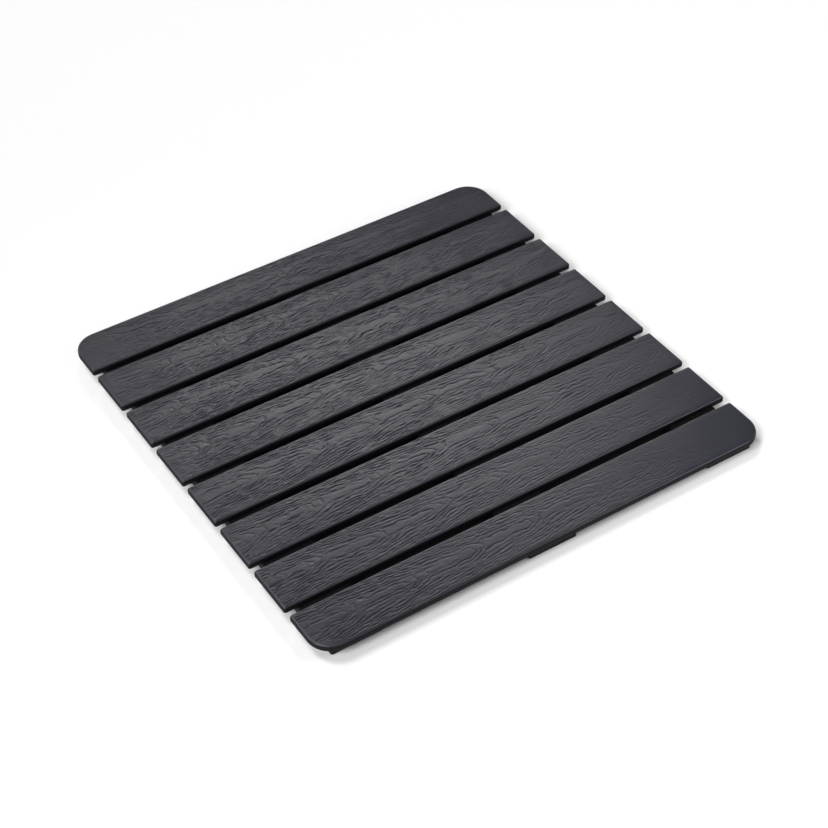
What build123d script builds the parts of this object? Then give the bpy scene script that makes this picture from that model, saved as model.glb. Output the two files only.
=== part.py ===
"""Square slatted deck tile: long boards laid side by side on three cross battens.

Millimetres. The origin is at the middle of the underside, +X runs along the slats,
+Y goes to the back slat and +Z is up.
"""

import os
from math import cos, radians, tan

from build123d import *

# Slats: the boards that make the walking surface
SLAT_COUNT = 8
SLAT_LENGTH = 600.0
SLAT_WIDTH = 66.4
SLAT_THICKNESS = 8.0
SLAT_GAP = 9.8
SLAT_TOP_EDGE_RADIUS = 2.5
SLAT_CORNER_EASE = 0.5
SLAT_LOWER_EDGE_RADIUS = 1.0
TILE_CORNER_RADIUS = 30.0

# Battens: the boards across the underside
BATTEN_WIDTH = 64.0
BATTEN_THICKNESS = 12.0
BATTEN_SIDE_INSET = 16.5
BATTEN_END_INSET = 7.5
BATTEN_CORNER_RADIUS = 2.5
BATTEN_LOWER_EDGE_RADIUS = 1.0

# The battens are laid by hand, so each one sits a little to the back (+) or the front (-)
LEFT_BATTEN_SHIFT = 1.1
MIDDLE_BATTEN_SHIFT = -2.4
RIGHT_BATTEN_SHIFT = -0.7

# Screws: countersunk, driven up from below, two on a diagonal at each crossing
SCREW_RADIUS = 2.0
SCREW_HEAD_RADIUS = 4.0
SCREW_HEAD_ANGLE = 90.0
SCREW_TIP_LENGTH = 2.0
SCREW_DRIVE_SPAN = 4.2
SCREW_DRIVE_WIDTH = 1.0
SCREW_DRIVE_DEPTH = 1.2
SCREW_RECESS = 0.4
SCREW_CLEARANCE = 0.1
SCREW_TOP_COVER = 3.5
SCREW_TO_BATTEN_SIDE = 18.0
SCREW_TO_SLAT_SIDE = 20.0

# Worked out from the sizes above
slat_pitch = SLAT_WIDTH + SLAT_GAP
slat_corner_radius = SLAT_TOP_EDGE_RADIUS + SLAT_CORNER_EASE
tile_depth = SLAT_COUNT * SLAT_WIDTH + (SLAT_COUNT - 1) * SLAT_GAP
batten_length = tile_depth - 2 * BATTEN_END_INSET
batten_x = SLAT_LENGTH / 2 - BATTEN_SIDE_INSET - BATTEN_WIDTH / 2

# A screw stops short of the slat's top, and its holes follow it with a clearance all round
half_angle = radians(SCREW_HEAD_ANGLE / 2)
screw_tip_z = BATTEN_THICKNESS + SLAT_THICKNESS - SCREW_TOP_COVER
screw_head_height = (SCREW_HEAD_RADIUS - SCREW_RADIUS) / tan(half_angle)
screw_hole_radius = SCREW_RADIUS + SCREW_CLEARANCE
countersink_radius = SCREW_HEAD_RADIUS + SCREW_RECESS * tan(half_angle) + SCREW_CLEARANCE / cos(half_angle)
pilot_depth = screw_tip_z + SCREW_CLEARANCE - BATTEN_THICKNESS
screw_offset_x = BATTEN_WIDTH / 2 - SCREW_TO_BATTEN_SIDE
screw_offset_y = SLAT_WIDTH / 2 - SCREW_TO_SLAT_SIDE

slat_rows = [tile_depth / 2 - SLAT_WIDTH / 2 - i * slat_pitch for i in range(SLAT_COUNT)]
battens = {
    "batten_left": (-batten_x, LEFT_BATTEN_SHIFT),
    "batten_middle": (0.0, MIDDLE_BATTEN_SHIFT),
    "batten_right": (batten_x, RIGHT_BATTEN_SHIFT),
}


def crossing_screws(x, y):
    """The two screw positions where the batten at x passes under the slat at y."""
    return [(x - screw_offset_x, y - screw_offset_y), (x + screw_offset_x, y + screw_offset_y)]


os.makedirs("parts", exist_ok=True)

# Slats, from the back one to the front one
for i, slat_y in enumerate(slat_rows):
    pilot_spots = [spot for x, _ in battens.values() for spot in crossing_screws(x, slat_y)]
    with BuildPart() as slat:
        with BuildSketch(Plane.XY.offset(BATTEN_THICKNESS)) as outline:
            with Locations((0, slat_y)):
                Rectangle(SLAT_LENGTH, SLAT_WIDTH)
            back_radius = TILE_CORNER_RADIUS if i == 0 else slat_corner_radius
            front_radius = TILE_CORNER_RADIUS if i == SLAT_COUNT - 1 else slat_corner_radius
            fillet(outline.vertices().group_by(Axis.Y)[-1], radius=back_radius)
            fillet(outline.vertices().group_by(Axis.Y)[0], radius=front_radius)
        extrude(amount=SLAT_THICKNESS)
        fillet(slat.faces().sort_by(Axis.Z)[-1].edges(), radius=SLAT_TOP_EDGE_RADIUS)
        fillet(slat.faces().sort_by(Axis.Z)[0].edges(), radius=SLAT_LOWER_EDGE_RADIUS)
        with BuildSketch(Plane.XY.offset(BATTEN_THICKNESS)):
            with Locations(*pilot_spots):
                Circle(screw_hole_radius)
        extrude(amount=pilot_depth, mode=Mode.SUBTRACT)
    slat.part.label = f"slat_{i + 1}"
    export_step(slat.part, f"parts/{slat.part.label}.step")

# Battens, flat on the ground with the screw holes countersunk from below
for name, (batten_centre, shift) in battens.items():
    screw_spots = [spot for y in slat_rows for spot in crossing_screws(batten_centre, y)]
    with BuildPart() as batten:
        with BuildSketch(Plane((batten_centre, shift, 0))):
            RectangleRounded(BATTEN_WIDTH, batten_length, BATTEN_CORNER_RADIUS)
        extrude(amount=BATTEN_THICKNESS)
        fillet(batten.faces().sort_by(Axis.Z)[0].edges(), radius=BATTEN_LOWER_EDGE_RADIUS)
        with Locations(Plane(origin=(0, 0, 0), x_dir=(1, 0, 0), z_dir=(0, 0, -1))):
            with Locations(*[(x, -y) for x, y in screw_spots]):
                CounterSinkHole(screw_hole_radius, countersink_radius, counter_sink_angle=SCREW_HEAD_ANGLE)
    batten.part.label = name
    export_step(batten.part, f"parts/{name}.step")

# One screw, standing head down: turned from its half profile, with a cross recess for the driver
with BuildPart() as screw:
    with BuildSketch(Plane.XZ):
        with BuildLine():
            Polyline(
                (0, SCREW_RECESS),
                (SCREW_HEAD_RADIUS, SCREW_RECESS),
                (SCREW_RADIUS, SCREW_RECESS + screw_head_height),
                (SCREW_RADIUS, screw_tip_z - SCREW_TIP_LENGTH),
                (0, screw_tip_z),
                close=True,
            )
        make_face()
    revolve(axis=Axis.Z)
    with BuildSketch(Plane.XY.offset(SCREW_RECESS)):
        Rectangle(SCREW_DRIVE_SPAN, SCREW_DRIVE_WIDTH)
        Rectangle(SCREW_DRIVE_WIDTH, SCREW_DRIVE_SPAN)
    extrude(amount=SCREW_DRIVE_DEPTH, mode=Mode.SUBTRACT)

# All the screws, two at each crossing
all_spots = [spot for x, _ in battens.values() for y in slat_rows for spot in crossing_screws(x, y)]
with BuildPart() as screws:
    with Locations(*all_spots):
        add(screw.part)
screws.part.label = "screws"
export_step(screws.part, "parts/screws.step")
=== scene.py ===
"""Looks of the slatted deck tile: embossed composite slats on cross battens, on a white studio floor."""

import math

import bpy
import numpy as np
from mathutils import Matrix, Vector
from mathutils.geometry import delaunay_2d_cdt


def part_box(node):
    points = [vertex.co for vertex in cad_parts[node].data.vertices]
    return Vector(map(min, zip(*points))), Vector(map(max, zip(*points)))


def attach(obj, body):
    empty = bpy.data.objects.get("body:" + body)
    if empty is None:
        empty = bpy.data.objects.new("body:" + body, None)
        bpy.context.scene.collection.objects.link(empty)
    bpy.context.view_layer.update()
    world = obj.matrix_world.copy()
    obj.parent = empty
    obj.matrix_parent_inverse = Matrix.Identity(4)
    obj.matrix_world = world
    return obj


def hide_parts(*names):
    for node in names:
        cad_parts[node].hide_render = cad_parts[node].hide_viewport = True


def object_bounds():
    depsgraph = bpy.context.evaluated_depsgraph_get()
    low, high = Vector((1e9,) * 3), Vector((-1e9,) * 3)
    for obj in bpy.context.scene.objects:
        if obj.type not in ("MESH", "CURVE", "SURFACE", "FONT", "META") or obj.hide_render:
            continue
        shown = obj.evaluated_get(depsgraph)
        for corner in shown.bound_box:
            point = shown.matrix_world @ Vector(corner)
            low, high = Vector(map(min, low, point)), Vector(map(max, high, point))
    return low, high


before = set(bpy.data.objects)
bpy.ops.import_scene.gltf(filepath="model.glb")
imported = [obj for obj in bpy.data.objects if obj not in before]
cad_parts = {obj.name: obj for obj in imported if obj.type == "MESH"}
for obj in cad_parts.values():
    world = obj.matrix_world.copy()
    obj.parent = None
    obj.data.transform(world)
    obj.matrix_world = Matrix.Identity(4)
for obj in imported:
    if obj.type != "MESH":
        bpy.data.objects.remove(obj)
cad_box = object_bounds()

MM = 0.001
TOLERANCE = 0.001 * MM

# Slats, in the sizes of the solids
SLAT_NODES = sorted(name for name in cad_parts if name.startswith("slat_"))
TILE_CORNER_RADIUS = 30 * MM
SLAT_CORNER_RADIUS = 3 * MM
TOP_EDGE_RADIUS = 2.5 * MM
LOWER_EDGE_RADIUS = 1 * MM

# Pilot holes in the underside, in the sizes of the solids, two on a diagonal over each batten
BATTEN_NODES = sorted(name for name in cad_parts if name.startswith("batten_"))
PILOT_RADIUS = 2.1 * MM
PILOT_DEPTH = 4.6 * MM
PILOT_OFFSET_ALONG = 14 * MM
PILOT_OFFSET_ACROSS = 13.2 * MM
PILOT_SIDES = 16

# Mesh of a slat: how finely its top and its edges are divided
CELL_ALONG = 1.5 * MM
CELL_ACROSS = 0.55 * MM
EDGE_STEPS = 10
LOWER_EDGE_STEPS = 4

# The top falls very slightly towards its edges, and the outermost part of the rounded edge is planed; it takes the
# sides' darker colour, which is painted shade
PILLOW_WIDTH = 8 * MM
PILLOW_DEPTH = 0.5 * MM
PLANED_AND_SHADED_EDGE = 0.6 * MM

# Embossed grain: growth rings cut by the board's face, as nested arches that point along +X
RING_PITCH = 3.4 * MM
RING_TAPER = 0.1
ARCH_SPACING = 80 * MM
ARCH_REACH = 14 * MM
GROOVE_HALF_WIDTH = 0.64 * MM
GROOVE_DEPTH = 0.66 * MM
PIT_DEPTH = 0.36 * MM
GRAIN_MARGIN = 6 * MM

# Arms of an arch: how wide each is at the tip, how it slopes there and how softly it bends into its straight run
FRONT_ARM_WIDTH = 8 * MM
FRONT_ARM_SLOPE = 0.75
FRONT_ARM_BEND = 4 * MM
BACK_ARM_WIDTH = 8.5 * MM
BACK_ARM_SLOPE = 0.12
BACK_ARM_BEND = 3 * MM
TIP_PLACE = 0.4 * BACK_ARM_WIDTH
TIP_REACH = 0.7 * BACK_ARM_WIDTH

# The pattern starts anywhere along the roll, and its mid-line lies a little off the board's own and drifts
ROLL_LENGTH = 1000 * MM
MIDDLE_RANGE = 4 * MM
DRIFT = 3 * MM
DRIFT_LENGTH = 110 * MM

# What makes the grain uneven: the size of each along the board and across it
WAVE_SIZE = (18 * MM, 10 * MM)
RIPPLE_SIZE = (7 * MM, 4 * MM)
DASH_SIZE = (5.5 * MM, 2.6 * MM)
PATCH_SIZE = (16 * MM, 7 * MM)
PIT_SIZE = (2.8 * MM, 1.7 * MM)
WANDER = 1 * MM

# Where the grain gets shallower along a board
RIGHT_FADE_START = -250 * MM
RIGHT_FADE_END = 300 * MM
RIGHT_FADE_BOARDS = [0.55, 0.85, 1]
RIGHT_FADE_DEPTHS = [0.6, 0.18, 0.07]
LEFT_FADE_START = -300 * MM
LEFT_FADE_END = -245 * MM
LEFT_FADE_DEPTH = 0.3

# Composite and zinc: the sizes of their clouds and grit. Real grit is finer, and is drawn as coarse as it shows.
COMPOSITE_IOR = 1.49
COMPOSITE_CLOUD = 28 * MM
GRIT_SIZE = 0.9 * MM
GRIT_HEIGHT = 0.1 * MM
ZINC_CLOUD = 2 * MM

# Camera, fitted to the slat edges in the photograph
PHOTO_SIZE = 828
FOCAL_PIXELS = 1912.9
SENSOR_WIDTH_MM = 36.0
CAMERA_AZIMUTH = -32.291
CAMERA_ELEVATION = 42.632
CAMERA_ROLL = -1.100
CAMERA_DISTANCE = 2.23941
CAMERA_TARGET = Vector((-20.40 * MM, -45.25 * MM, cad_box[1][2]))


def linear(hex_colour):
    """An sRGB hex colour as linear RGBA."""
    channels = [int(hex_colour[i:i + 2], 16) / 255 for i in (1, 3, 5)]
    return [c / 12.92 if c <= 0.04045 else ((c + 0.055) / 1.055) ** 2.4 for c in channels] + [1.0]


def node(material, kind, settings=None, links=None):
    """Adds a node to the tree of a material or the world, sets its values and links its inputs."""
    tree = material.node_tree
    new = tree.nodes.new(kind)
    for key, value in (settings or {}).items():
        if isinstance(key, str) and hasattr(new, key):
            setattr(new, key, value)
        else:
            new.inputs[key].default_value = value
    for key, source in (links or {}).items():
        tree.links.new(source, new.inputs[key])
    return new


def empty_material(name):
    """A material whose node tree is still empty."""
    material = bpy.data.materials.new(name)
    material.use_nodes = True
    material.node_tree.nodes.clear()
    return material


def smooth_noise(x, y, seed):
    """Smooth noise from -1 to 1, one cell to a unit, the same on every run."""
    cells = 256
    lattice = np.random.default_rng(seed).uniform(-1, 1, (cells, cells))
    x0 = np.floor(x).astype(int)
    y0 = np.floor(y).astype(int)
    fx = x - x0
    fy = y - y0
    fx = fx * fx * fx * (fx * (fx * 6 - 15) + 10)
    fy = fy * fy * fy * (fy * (fy * 6 - 15) + 10)
    left, right = x0 % cells, (x0 + 1) % cells
    front, back = y0 % cells, (y0 + 1) % cells
    at_front = lattice[left, front] * (1 - fx) + lattice[right, front] * fx
    at_back = lattice[left, back] * (1 - fx) + lattice[right, back] * fx
    return at_front * (1 - fy) + at_back * fy


def ease(share):
    """A share from 0 to 1 with a soft start and a soft end."""
    return share * share * (3 - 2 * share)


def unevenness(along, across, size, seed):
    """Smooth noise over a board, of one size along it and another across it."""
    return smooth_noise(along / size[0], across / size[1], seed)


def arm_of_arch(distance, slope_at_tip, width, bend):
    """How far an arm of an arch has run across the rings at a distance from the tip's mid-line, and its slope.

    It starts with the slope at the tip and bends to a slope of one beyond the width.
    """
    past = distance - width
    root = np.sqrt(past ** 2 + bend ** 2)
    start = np.sqrt(width ** 2 + bend ** 2) - width
    gain = slope_at_tip * distance + (1 - slope_at_tip) / 2 * (past + root - start)
    return gain, slope_at_tip + (1 - slope_at_tip) / 2 * (1 + past / root)


def groove_along(rings, gradient):
    """One groove of even width along every whole ring, however far apart the rings lie."""
    off_line = np.abs(rings - np.round(rings)) * RING_PITCH / gradient
    return np.exp(-(off_line / GROOVE_HALF_WIDTH) ** 2)


def pressure_along(x, front_share):
    """How deep the rolls press along a board: less to the right, most of all on the front boards, and less at
    the left end of the back ones. The front share is 0 on the back board and 1 on the front one."""
    right_end = np.interp(front_share, RIGHT_FADE_BOARDS, RIGHT_FADE_DEPTHS)
    left_end = LEFT_FADE_DEPTH + (1 - LEFT_FADE_DEPTH) * front_share
    to_right = np.interp(x, [RIGHT_FADE_START * front_share, RIGHT_FADE_END], [1, right_end])
    to_left = np.interp(x, [LEFT_FADE_START, LEFT_FADE_END], [left_end, 1])
    return (0.85 + 0.3 * front_share) * to_right * to_left


def grain_depth(x, across, seed, front_share):
    """Depth of the embossed grain, at a place along the board and across it from its middle."""
    rng = np.random.default_rng(seed)
    s = x + rng.uniform(0, 1) * ROLL_LENGTH
    middle = rng.uniform(0, 1) * MIDDLE_RANGE
    drift = DRIFT * smooth_noise(s / DRIFT_LENGTH, 0 * s, seed + 1)
    a = across - middle - drift

    # The back arm of an arch starts nearly square to the board, the front arm at a slant, and both then run along it
    front, front_slope = arm_of_arch(-a, FRONT_ARM_SLOPE, FRONT_ARM_WIDTH, FRONT_ARM_BEND)
    back, back_slope = arm_of_arch(a, BACK_ARM_SLOPE, BACK_ARM_WIDTH, BACK_ARM_BEND)
    arm = np.where(a > 0, back, front)
    slope = np.where(a > 0, back_slope, front_slope)
    tip = np.clip(1 - np.abs(a - TIP_PLACE) / TIP_REACH, 0, 1)
    wave = WANDER * unevenness(s, across, WAVE_SIZE, seed + 2)
    ripple = WANDER * unevenness(s, across, RIPPLE_SIZE, seed + 3)

    # Near the middle of the board the tips come in groups: the rings taper fast there and then not at all
    near = np.exp(-(a / ARCH_REACH) ** 2)
    along = 2 * (s / ARCH_SPACING % 1)
    step = np.clip(along, 0, 1)
    taper = RING_TAPER * (1 + near * (12 * step * (1 - step) - 1))
    shift = RING_TAPER * (s + near * ARCH_SPACING * (ease(step) - along / 2))
    rings = (arm + shift + (wave + ripple) * (1 - 0.85 * tip)) / RING_PITCH
    grooves = groove_along(rings, np.hypot(slope, taper))

    # The rolls press unevenly: boldest at the tips and in dashes elsewhere, with smoother patches and small pits
    dashes = unevenness(s, across, DASH_SIZE, seed + 4)
    patches = unevenness(s, across, PATCH_SIZE, seed + 5)
    pits = 0.5 + 0.5 * unevenness(s, across, PIT_SIZE, seed + 6)
    strength = np.clip(0.8 + 0.7 * tip + (1.0 - 0.8 * tip) * dashes, 0.1, 1.5)
    depth = GROOVE_DEPTH * grooves * strength + PIT_DEPTH * pits * (1 - 0.6 * tip)
    return depth * np.clip(1.0 + 0.6 * patches, 0.45, 1) * pressure_along(x, front_share)


def edge_distance(x, y, half_length, low_y, high_y, front_radius, back_radius):
    """How far a point of the board lies inside its outline, whose corners are rounded."""
    to_end = half_length - np.abs(x)
    inside = to_end.copy()
    for to_side, radius in ((y - low_y, front_radius), (high_y - y, back_radius)):
        inside = np.minimum(inside, to_side)
        in_corner = (to_end < radius) & (to_side < radius)
        to_arc = radius - np.hypot(radius - to_end, radius - to_side)
        inside = np.where(in_corner, np.minimum(inside, to_arc), inside)
    return np.maximum(inside, 0)


def spaced(half, cell):
    """Places from -half to half, close together over the rounded edges and even between them."""
    angles = np.linspace(0, math.pi / 2, EDGE_STEPS)
    edge = TOP_EDGE_RADIUS * (1 - np.cos(angles))
    inner = half - TOP_EDGE_RADIUS
    count = int(round(2 * inner / cell))
    middle = np.linspace(-inner, inner, count + 1)[1:-1]
    return np.concatenate([-half + edge, middle, half - edge[::-1]])


def inward_from_rim(rim_xy, half_length, half_width, mid_y, front_radius, back_radius):
    """The level direction that goes straight into the board from each point of its rim."""
    inward = np.zeros_like(rim_xy)
    for sign, radius in ((-1, front_radius), (1, back_radius)):
        centre_y = mid_y + sign * (half_width - radius)
        for end in (-1, 1):
            centre_x = end * (half_length - radius)
            corner = (end * (rim_xy[:, 0] - centre_x) >= 0) & (sign * (rim_xy[:, 1] - centre_y) >= 0)
            inward[corner] = (np.array([centre_x, centre_y]) - rim_xy[corner]) / radius
    straight = np.hypot(inward[:, 0], inward[:, 1]) < 0.5
    on_end = straight & (half_length - np.abs(rim_xy[:, 0]) < TOLERANCE)
    on_side = straight & ~on_end
    inward[on_end, 0] = -np.sign(rim_xy[on_end, 0])
    inward[on_side, 1] = -np.sign(rim_xy[on_side, 1] - mid_y)
    return inward


def pilot_holes(low_z, mid_y, start):
    """The blind holes for the screws: their points, their walls and ends, and their mouths in the underside."""
    points, polygons, mouths = [], [], []
    turn = np.linspace(0, 2 * math.pi, PILOT_SIDES, endpoint=False)
    circle = PILOT_RADIUS * np.column_stack([np.cos(turn), np.sin(turn)])
    for batten in BATTEN_NODES:
        batten_x = sum(corner[0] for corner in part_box(batten)) / 2
        for sign in (-1, 1):
            spot = (batten_x + sign * PILOT_OFFSET_ALONG, mid_y + sign * PILOT_OFFSET_ACROSS)
            for height in (low_z, low_z + PILOT_DEPTH):
                points.append(np.column_stack([circle + spot, np.full(PILOT_SIDES, height)]))
            mouth = np.arange(start, start + PILOT_SIDES)
            end = mouth + PILOT_SIDES
            polygons += np.stack([np.roll(mouth, -1), mouth, end, np.roll(end, -1)], axis=-1).tolist()
            polygons.append(end[::-1].tolist())
            mouths.append(mouth)
            start += 2 * PILOT_SIDES
    return points, polygons, mouths


def fill_round_holes(points, rim, holes):
    """Triangles, facing down, that fill a flat rim of points but for the holes in it."""
    used = np.concatenate([rim] + holes)
    loop_of = np.concatenate([np.full(len(loop), i) for i, loop in enumerate([rim] + holes)])
    first = np.searchsorted(loop_of, loop_of)
    size = np.bincount(loop_of)[loop_of]
    following = first + (np.arange(len(used)) - first + 1) % size
    edges = np.stack([np.arange(len(used)), following], axis=-1).tolist()
    places = [Vector(place) for place in points[used, :2].tolist()]
    inside_the_rim = 1
    triangles = delaunay_2d_cdt(places, edges, [], inside_the_rim, TOLERANCE)[2]
    over_a_hole = [loop_of[t[0]] > 0 and len(set(loop_of[t])) == 1 for t in triangles]
    return [used[t[::-1]].tolist() for t, over in zip(triangles, over_a_hole) if not over]


def build_slat(node_name, index):
    """A board with its grain as real relief: a fine grid on top, rounded edges, plain sides and a drilled underside."""
    low, high = (Vector(corner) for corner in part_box(node_name))
    half_length = (high.x - low.x) / 2
    half_width = (high.y - low.y) / 2
    mid_y = (high.y + low.y) / 2
    last = len(SLAT_NODES) - 1
    back_radius = TILE_CORNER_RADIUS if index == 0 else SLAT_CORNER_RADIUS
    front_radius = TILE_CORNER_RADIUS if index == last else SLAT_CORNER_RADIUS

    # Each row of the grid ends on the outline, so the rows beside a rounded corner are shorter
    across = spaced(half_width, CELL_ACROSS)
    along = spaced(half_length, CELL_ALONG)
    inset = np.zeros_like(across)
    for to_side, radius in ((across + half_width, front_radius), (half_width - across, back_radius)):
        reach = np.clip(radius - to_side, 0, radius)
        inset = np.maximum(inset, radius - np.sqrt(radius ** 2 - reach ** 2))
    x = along[None, :] * ((half_length - inset) / half_length)[:, None]
    y = np.repeat((across + mid_y)[:, None], len(along), axis=1)

    # The top is rounded at its edges, falls slightly towards them and carries the grain
    inside = edge_distance(x, y, half_length, low.y, high.y, front_radius, back_radius)
    drop = np.clip(TOP_EDGE_RADIUS - inside, 0, TOP_EDGE_RADIUS)
    z = high.z - TOP_EDGE_RADIUS + np.sqrt(TOP_EDGE_RADIUS ** 2 - drop ** 2)
    z -= PILLOW_DEPTH * np.clip(1 - inside / PILLOW_WIDTH, 0, 1) ** 2
    seed = 100 * (index + 1)
    z -= grain_depth(x, y - mid_y, seed, index / last) * ease(np.clip(inside / GRAIN_MARGIN, 0, 1))
    rows, columns = x.shape
    grid = np.arange(rows * columns).reshape(rows, columns)
    vertices = [np.stack([x, y, z], axis=-1).reshape(-1, 3)]
    faces = [np.stack([grid[:-1, :-1], grid[:-1, 1:], grid[1:, 1:], grid[1:, :-1]], axis=-1).reshape(-1, 4)]

    # The sides and the rounded lower edge go down from the grid's rim in rings
    rim = np.concatenate([grid[0, :-1], grid[:-1, -1], grid[-1, :0:-1], grid[:0:-1, 0]])
    rim_xy = vertices[0][rim, :2]
    inward = inward_from_rim(rim_xy, half_length, half_width, mid_y, front_radius, back_radius)
    ring = rim
    start = rows * columns
    for angle in np.linspace(0, math.pi / 2, LOWER_EDGE_STEPS):
        xy = rim_xy + inward * LOWER_EDGE_RADIUS * (1 - math.cos(angle))
        height = low.z + LOWER_EDGE_RADIUS * (1 - math.sin(angle))
        vertices.append(np.column_stack([xy, np.full(len(rim), height)]))
        lower = np.arange(start, start + len(rim))
        faces.append(np.stack([ring, lower, np.roll(lower, -1), np.roll(ring, -1)], axis=-1))
        ring = lower
        start += len(rim)

    # The underside and its pilot holes are flat faces, the rest is smooth
    polygons = [face.tolist() for block in faces for face in block]
    smooth_count = len(polygons)
    hole_points, hole_polygons, mouths = pilot_holes(low.z, mid_y, start)
    points = np.concatenate(vertices + hole_points)
    polygons += hole_polygons + fill_round_holes(points, ring, mouths)
    mesh = bpy.data.meshes.new(node_name + "_board")
    mesh.from_pydata(points.tolist(), [], polygons)
    mesh.polygons.foreach_set("use_smooth", [i < smooth_count for i in range(len(polygons))])

    # The first finish is the top's, the second that of all planed faces, whose darker colour is painted shade
    planed_and_shaded_faces = np.ones(len(polygons), dtype=int)
    on_top = (inside[:-1, :-1] + inside[1:, 1:]) / 2
    planed_and_shaded_faces[:on_top.size] = on_top.ravel() < PLANED_AND_SHADED_EDGE
    mesh.polygons.foreach_set("material_index", planed_and_shaded_faces.tolist())
    mesh.update()
    board = bpy.data.objects.new(node_name + "_board", mesh)
    bpy.context.scene.collection.objects.link(board)
    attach(board, "root")
    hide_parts(node_name)
    return board


def composite_material(name, dark, light, roughness, gloss, grit):
    """Wood and plastic composite, pressed hot between rolls: evenly dyed through, with a faint
    cloudiness from the wood flour and a fine grit that breaks the highlights."""
    material = empty_material(name)
    place = node(material, "ShaderNodeTexCoord")
    cloud = node(material, "ShaderNodeTexNoise", {"Scale": 1 / COMPOSITE_CLOUD, "Detail": 3.0},
                 {"Vector": place.outputs["Object"]})
    colour = node(material, "ShaderNodeMix", {"data_type": "RGBA", 6: linear(dark), 7: linear(light)},
                  {0: cloud.outputs["Fac"]})
    grain = node(material, "ShaderNodeTexNoise", {"Scale": 1 / GRIT_SIZE, "Detail": 2.0},
                 {"Vector": place.outputs["Object"]})
    bump = node(material, "ShaderNodeBump", {"Strength": grit, "Distance": GRIT_HEIGHT},
                {"Height": grain.outputs["Fac"]})
    shader = node(material, "ShaderNodeBsdfPrincipled",
                  {"Roughness": roughness, "IOR": COMPOSITE_IOR, "Specular IOR Level": gloss},
                  {"Base Color": colour.outputs[2], "Normal": bump.outputs["Normal"]})
    node(material, "ShaderNodeOutputMaterial", links={"Surface": shader.outputs["BSDF"]})
    return material


def steel_material(name, dark, light):
    """Zinc-plated steel, turned and tumbled: a bright grey metal with a soft, slightly uneven shine."""
    material = empty_material(name)
    place = node(material, "ShaderNodeTexCoord")
    cloud = node(material, "ShaderNodeTexNoise", {"Scale": 1 / ZINC_CLOUD, "Detail": 2.0},
                 {"Vector": place.outputs["Object"]})
    colour = node(material, "ShaderNodeMix", {"data_type": "RGBA", 6: linear(dark), 7: linear(light)},
                  {0: cloud.outputs["Fac"]})
    shader = node(material, "ShaderNodeBsdfPrincipled", {"Roughness": 0.38, "Metallic": 1.0},
                  {"Base Color": colour.outputs[2]})
    node(material, "ShaderNodeOutputMaterial", links={"Surface": shader.outputs["BSDF"]})
    return material


def matt_material(name, colour):
    """Painted studio board: an even, matt face without a highlight."""
    material = empty_material(name)
    shader = node(material, "ShaderNodeBsdfPrincipled",
                  {"Base Color": linear(colour), "Roughness": 0.9, "Specular IOR Level": 0.0})
    node(material, "ShaderNodeOutputMaterial", links={"Surface": shader.outputs["BSDF"]})
    return material


def build_sheet(name, half_x, half_y, z, colour):
    """A flat sheet of the studio, level under the tile."""
    mesh = bpy.data.meshes.new(name)
    corners = [(-half_x, -half_y, z), (half_x, -half_y, z), (half_x, half_y, z), (-half_x, half_y, z)]
    mesh.from_pydata(corners, [], [(0, 1, 2, 3)])
    sheet = bpy.data.objects.new(name, mesh)
    bpy.context.scene.collection.objects.link(sheet)
    sheet.data.materials.append(matt_material(name + "_board", colour))


def aim(azimuth, elevation):
    """The unit vector from the tile towards a place in the studio, azimuth 0 being the front."""
    a = math.radians(azimuth)
    e = math.radians(elevation)
    return Vector((math.sin(a) * math.cos(e), -math.cos(a) * math.cos(e), math.sin(e)))


def add_sun(name, azimuth, elevation, strength, spread):
    """A soft light so far off that it falls evenly over the whole floor."""
    lamp = bpy.data.lights.new(name, "SUN")
    lamp.energy = strength
    lamp.angle = math.radians(spread)
    light = bpy.data.objects.new(name, lamp)
    light.rotation_euler = aim(azimuth, elevation).to_track_quat("Z", "Y").to_euler()
    bpy.context.scene.collection.objects.link(light)


def add_softbox(name, azimuth, elevation, distance, size, power, spread, aimed_at):
    """A softbox that faces a place on the tile. A grid on its front keeps its light within the spread."""
    lamp = bpy.data.lights.new(name, "AREA")
    lamp.shape = "RECTANGLE"
    lamp.size, lamp.size_y = size
    lamp.energy = power
    lamp.spread = math.radians(spread)
    light = bpy.data.objects.new(name, lamp)
    light.location = Vector(aimed_at) + aim(azimuth, elevation) * distance
    light.rotation_euler = aim(azimuth, elevation).to_track_quat("Z", "Y").to_euler()
    bpy.context.scene.collection.objects.link(light)


def build_world():
    """The studio's white walls, bright low down all round and dark overhead, where the lamps are."""
    world = bpy.data.worlds.new("studio")
    world.use_nodes = True
    world.node_tree.nodes.clear()
    place = node(world, "ShaderNodeTexCoord")
    axes = node(world, "ShaderNodeSeparateXYZ", links={0: place.outputs["Generated"]})
    wall = node(world, "ShaderNodeMapRange",
                {"From Min": 0.12, "From Max": 0.4, "To Min": 1.0, "To Max": 0.02},
                {"Value": axes.outputs["Z"]})
    light = node(world, "ShaderNodeBackground", {"Color": linear("#ffffff")}, {"Strength": wall.outputs[0]})
    node(world, "ShaderNodeOutputWorld", links={"Surface": light.outputs[0]})
    bpy.context.scene.world = world


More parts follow.
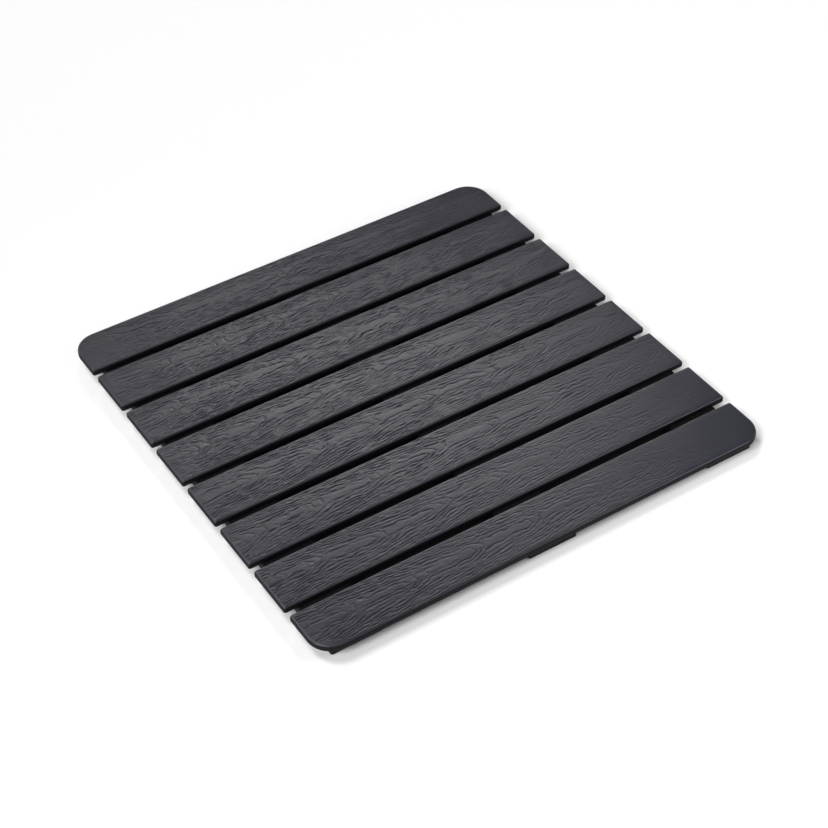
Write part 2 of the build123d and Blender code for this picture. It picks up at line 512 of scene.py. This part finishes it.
def build_camera():
    """The camera at the photograph's viewing angle."""
    data = bpy.data.cameras.new("photo_camera")
    data.sensor_width = SENSOR_WIDTH_MM
    data.lens = FOCAL_PIXELS / PHOTO_SIZE * SENSOR_WIDTH_MM
    back = aim(CAMERA_AZIMUTH, CAMERA_ELEVATION)
    right = Vector((0, 0, 1)).cross(back).normalized()
    up = back.cross(right)
    turn = math.radians(CAMERA_ROLL)
    rolled_right = right * math.cos(turn) + up * math.sin(turn)
    rolled_up = up * math.cos(turn) - right * math.sin(turn)
    camera = bpy.data.objects.new("photo_camera", data)
    camera.matrix_world = Matrix.Translation(CAMERA_TARGET + back * CAMERA_DISTANCE) @ Matrix(
        (rolled_right, rolled_up, back)).transposed().to_4x4()
    bpy.context.scene.collection.objects.link(camera)
    bpy.context.scene.camera = camera


# The tops keep the satin skin that the embossing rolls give. The sides and the outermost edges are planed to width,
# which leaves them matt; their colour is darker than the top's as painted shade, standing in for the shade on the
# sides and in the gaps. The battens are pressed plain, with a dull skin.
slat_top = composite_material("embossed_composite", "#22222b", "#292932", roughness=0.4, gloss=0.5, grit=0.3)
slat_side_painted_shade = composite_material("planed_composite_painted_shade", "#0d0d10", "#121216", roughness=0.6, gloss=0.12, grit=0.4)
# The battens' colour is darker than the slats' as painted shade, standing in for the shade under the slats and in the
# gaps.
batten_board_painted_shade = composite_material("plain_composite_painted_shade", "#0e0e0f", "#131314", roughness=0.6, gloss=0.15, grit=0.4)
screw_steel = steel_material("zinc_plated_steel", "#8f9296", "#b5b8ba")

# Slats are replaced by boards with relief, battens and screws stay as they are in the solids
for index, name in enumerate(SLAT_NODES):
    board = build_slat(name, index)
    for finish in (slat_top, slat_side_painted_shade):
        board.data.materials.append(finish)
for name in BATTEN_NODES + ["screws"]:
    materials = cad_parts[name].data.materials
    materials.clear()
    materials.append(screw_steel if name == "screws" else batten_board_painted_shade)

# The studio: a white floor, and under the tile a dark card that is painted shade; it keeps the white floor from
# lighting the gaps from below, so that they stay black
build_sheet("white_floor", half_x=30.0, half_y=30.0, z=-0.4 * MM, colour="#fdfdfd")
build_sheet("painted_shade_card_under_the_tile", half_x=260 * MM, half_y=290 * MM, z=-0.2 * MM, colour="#2b2b2b")
build_world()
add_sun("back_left_daylight", azimuth=205, elevation=58, strength=1.4, spread=26)
add_sun("left_daylight", azimuth=285, elevation=40, strength=2.5, spread=30)
add_softbox("gridded_back_strip", azimuth=150, elevation=34, distance=2.3, size=(0.8, 0.28),
            power=0.205, spread=16.5, aimed_at=(-0.10, -0.10, 0.02))
add_softbox("front_right_softbox", azimuth=36, elevation=44, distance=0.9, size=(0.3, 0.3),
            power=2.8, spread=180, aimed_at=(0.3, -0.3, 0.02))
build_camera()
bpy.context.scene.view_settings.view_transform = "Standard"
